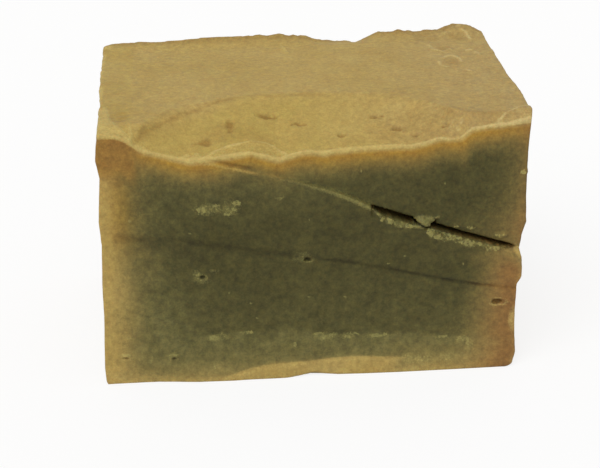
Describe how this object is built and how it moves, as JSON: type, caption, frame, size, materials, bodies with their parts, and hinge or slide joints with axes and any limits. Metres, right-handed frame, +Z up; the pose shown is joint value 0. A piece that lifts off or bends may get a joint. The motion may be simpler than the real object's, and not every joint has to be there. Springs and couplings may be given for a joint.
{
  "type": "bar of soap",
  "caption": "Hand-cut block of olive and laurel soap, golden outside and green inside, with a worn press mark on top and a crack across the cut face; for washing, or to stand on a dish.",
  "frame": {"origin": "middle of the underside, at the centre of the bounding box", "axes": "+X runs along the cut face to its right end as seen from the front, +Y from the cut face to the back, +Z up"},
  "size_m": [0.0798, 0.051, 0.0535],
  "materials": {
    "soap": "waxy, golden skin and olive green inside"
  },
  "bodies": {
    "root": {"soap_bar": "soap"}
  },
  "joints": []
}
